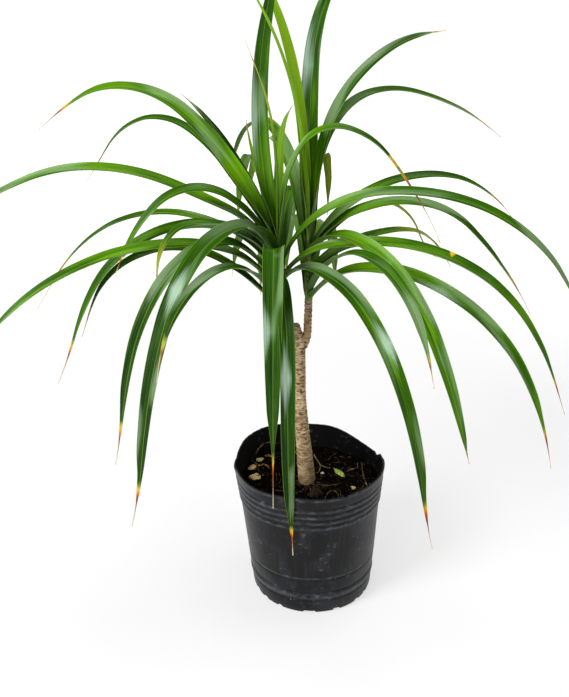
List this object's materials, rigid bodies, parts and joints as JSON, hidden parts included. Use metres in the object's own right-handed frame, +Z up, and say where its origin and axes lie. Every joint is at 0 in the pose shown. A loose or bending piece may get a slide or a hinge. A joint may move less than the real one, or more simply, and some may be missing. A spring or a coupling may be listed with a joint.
{
  "type": "potted ponytail palm",
  "caption": "House plant with a slender forked cane and two heads of long arching strap leaves, standing in a thin ribbed nursery pot of soil.",
  "frame": {"origin": "centre of the pot's base, on the surface it stands on", "axes": "+Z up along the plant; -Y is the viewer's side in the picture, +X to the viewer's right"},
  "size_m": [0.7014, 0.4437, 0.7505],
  "materials": {
    "pot": "thin black plastic with a soft sheen, scuffed and dusty",
    "soil": "dark, loose and fibrous",
    "stem": "tan bark ringed with leaf scars, rough",
    "leaf": "smooth waxy green with a pale midrib and dry brown tips",
    "bark": "dry splintered bark",
    "fallen_shoot_tip": "pale green, smooth",
    "perlite": "white, porous"
  },
  "bodies": {
    "root": {"pot": "pot", "soil": "soil", "stem": "stem", "bark_chip_1": "bark", "bark_chip_2": "bark", "bark_chip_3": "bark", "bark_chip_4": "bark", "fallen_shoot_tip": "fallen_shoot_tip", "soil_clod": "soil", "perlite_grain": "perlite", "leaf_left_01": "leaf", "leaf_left_02": "leaf", "leaf_left_03": "leaf", "leaf_left_04": "leaf", "leaf_left_05": "leaf", "leaf_left_06": "leaf", "leaf_left_07": "leaf", "leaf_left_08": "leaf", "leaf_left_09": "leaf", "leaf_left_10": "leaf", "leaf_left_11": "leaf", "leaf_left_12": "leaf", "leaf_left_13": "leaf", "leaf_left_14": "leaf", "leaf_left_15": "leaf", "leaf_left_16": "leaf", "leaf_left_17": "leaf", "leaf_left_18": "leaf", "leaf_left_19": "leaf", "leaf_left_20": "leaf", "leaf_left_21": "leaf", "leaf_left_22": "leaf", "leaf_left_23": "leaf", "leaf_left_24": "leaf", "leaf_left_25": "leaf", "leaf_left_26": "leaf", "leaf_left_27": "leaf", "leaf_right_01": "leaf", "leaf_right_02": "leaf", "leaf_right_03": "leaf", "leaf_right_04": "leaf", "leaf_right_05": "leaf", "leaf_right_06": "leaf", "leaf_right_07": "leaf", "leaf_right_08": "leaf", "leaf_right_09": "leaf", "leaf_right_10": "leaf", "leaf_right_11": "leaf", "leaf_right_12": "leaf", "leaf_right_13": "leaf", "leaf_right_14": "leaf", "leaf_right_15": "leaf", "leaf_right_16": "leaf", "leaf_right_17": "leaf", "leaf_right_18": "leaf", "leaf_right_19": "leaf"}
  },
  "joints": []
}
